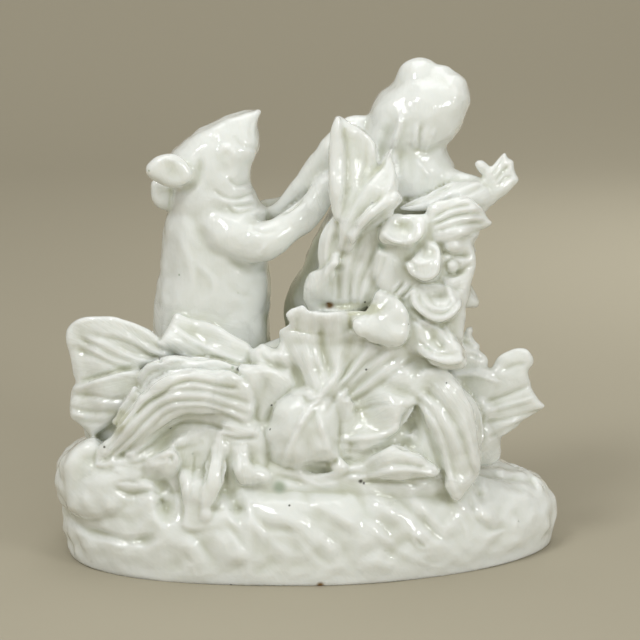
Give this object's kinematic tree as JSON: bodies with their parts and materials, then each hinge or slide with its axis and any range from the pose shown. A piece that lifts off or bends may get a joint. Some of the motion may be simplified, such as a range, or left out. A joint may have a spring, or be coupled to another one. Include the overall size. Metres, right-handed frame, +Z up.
{
  "type": "porcelain animal figure group",
  "caption": "Glazed white porcelain group of a pig and a frog dancing hand in hand behind a bank of leaves and trumpet flowers, on an oval wavy mound.",
  "frame": {"origin": "centre of the flat underside of the mound, where it stands", "axes": "+Z up, +X along the mound from the pig to the frog, -Y towards the leafy side that the picture shows"},
  "size_m": [0.1426, 0.076, 0.1378],
  "materials": {
    "white_porcelain": "glossy clear glaze over white porcelain, faintly green where it pools"
  },
  "bodies": {
    "root": {"porcelain_group": "white_porcelain"}
  },
  "joints": []
}
